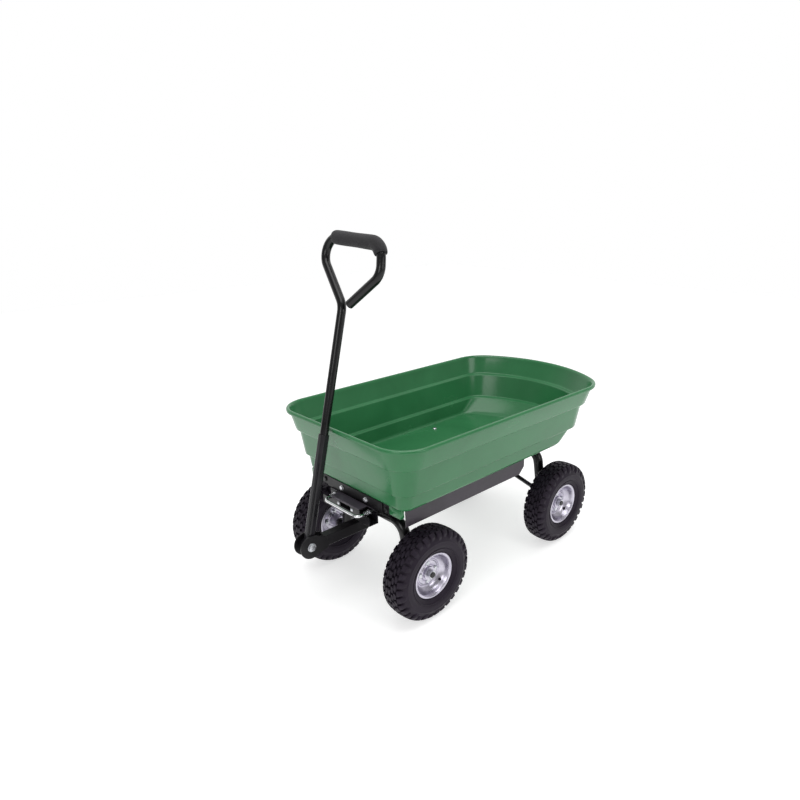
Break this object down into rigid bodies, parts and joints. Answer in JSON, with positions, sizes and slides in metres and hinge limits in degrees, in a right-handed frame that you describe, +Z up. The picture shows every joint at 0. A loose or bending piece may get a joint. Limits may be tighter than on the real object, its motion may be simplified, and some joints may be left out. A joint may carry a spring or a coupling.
{
  "type": "tipping dump cart",
  "caption": "garden dump cart with a stepped plastic tray that tips on a steel chassis, a spring latch, a steered front axle, air-filled wheels and a pull handle with a hand loop",
  "frame": {"origin": "on the ground under the middle of the overall box", "axes": "+X forward to the handle end, +Y to the cart's left, +Z up"},
  "size_m": [1.0217, 0.53, 0.9554],
  "materials": {
    "green_plastic": "glossy moulded polypropylene",
    "black_paint": "gloss black powder coat",
    "charcoal_paint": "charcoal powder coat",
    "zinc_steel": "bright zinc plate",
    "black_steel": "black oxide",
    "chrome_steel": "bright chrome plate",
    "tyre_rubber": "moulded tread rubber",
    "tube_rubber": "butyl inner tube",
    "black_foam": "closed-cell foam",
    "black_plastic": "moulded plastic plug"
  },
  "bodies": {
    "chassis": {"rear_arch": "black_paint", "rear_brace": "black_paint", "chassis_bars": "black_paint", "front_base": "charcoal_paint", "base_screws": "zinc_steel", "king_pin": "zinc_steel", "king_nut": "zinc_steel", "rear_spindles": "black_steel", "rear_axle_nuts": "black_steel", "hinge_bolts": "zinc_steel", "hinge_nuts": "zinc_steel", "bail_springs": "chrome_steel"},
    "tray": {"tray": "green_plastic", "left_rail": "charcoal_paint", "right_rail": "charcoal_paint", "front_bearer": "black_paint", "front_plate": "black_paint", "plate_bolts": "zinc_steel", "plate_nuts": "zinc_steel", "floor_bolts": "zinc_steel", "floor_nuts": "zinc_steel", "hinge_brackets": "black_paint", "bracket_screws": "zinc_steel"},
    "front_axle": {"front_arch": "black_paint", "tongue": "black_paint", "front_spindles": "black_steel", "front_axle_nuts": "black_steel", "pivot_bolt": "zinc_steel", "pivot_nut": "zinc_steel"},
    "handle": {"lower_handle": "charcoal_paint", "upper_handle": "black_paint", "grip": "black_foam", "end_plug": "black_plastic", "joint_bolt": "zinc_steel"},
    "latch": {"bail": "chrome_steel", "bail_collars": "zinc_steel"},
    "wheel_fl": {"fl_tyre": "tyre_rubber", "fl_inner_tube": "tube_rubber", "fl_rim_outer": "zinc_steel", "fl_rim_inner": "zinc_steel", "fl_hub": "zinc_steel", "fl_rim_bolts": "zinc_steel"},
    "wheel_fr": {"fr_tyre": "tyre_rubber", "fr_inner_tube": "tube_rubber", "fr_rim_outer": "zinc_steel", "fr_rim_inner": "zinc_steel", "fr_hub": "zinc_steel", "fr_rim_bolts": "zinc_steel"},
    "wheel_rl": {"rl_tyre": "tyre_rubber", "rl_inner_tube": "tube_rubber", "rl_rim_outer": "zinc_steel", "rl_rim_inner": "zinc_steel", "rl_hub": "zinc_steel", "rl_rim_bolts": "zinc_steel"},
    "wheel_rr": {"rr_tyre": "tyre_rubber", "rr_inner_tube": "tube_rubber", "rr_rim_outer": "zinc_steel", "rr_rim_inner": "zinc_steel", "rr_hub": "zinc_steel", "rr_rim_bolts": "zinc_steel"}
  },
  "joints": [
    {"name": "tray_tip", "type": "hinge", "parent": "chassis", "child": "tray", "pos_m": [-0.343, 0, 0.303], "axis": [0, -1, 0], "range_deg": [0, 70]},
    {"name": "steer", "type": "hinge", "parent": "chassis", "child": "front_axle", "pos_m": [0.261, 0, 0.26], "axis": [0, 0, 1], "range_deg": [-13, 13]},
    {"name": "handle_pitch", "type": "hinge", "parent": "front_axle", "child": "handle", "pos_m": [0.4795, 0, 0.2165], "axis": [0, 1, 0], "range_deg": [0, 112]},
    {"name": "latch_pull", "type": "slide", "parent": "chassis", "child": "latch", "axis": [1, 0, 0], "range_m": [0, 0.01], "stiffness_N_per_m": 600, "springref_m": -0.01, "deforming": ["bail_springs"]},
    {"name": "wheel_fl_turn", "type": "hinge", "parent": "front_axle", "child": "wheel_fl", "pos_m": [0.261, 0.207, 0.13], "axis": [0, 1, 0], "continuous": true},
    {"name": "wheel_fr_turn", "type": "hinge", "parent": "front_axle", "child": "wheel_fr", "pos_m": [0.261, -0.207, 0.13], "axis": [0, 1, 0], "continuous": true},
    {"name": "wheel_rl_turn", "type": "hinge", "parent": "chassis", "child": "wheel_rl", "pos_m": [-0.307, 0.207, 0.13], "axis": [0, 1, 0], "continuous": true},
    {"name": "wheel_rr_turn", "type": "hinge", "parent": "chassis", "child": "wheel_rr", "pos_m": [-0.307, -0.207, 0.13], "axis": [0, 1, 0], "continuous": true}
  ]
}
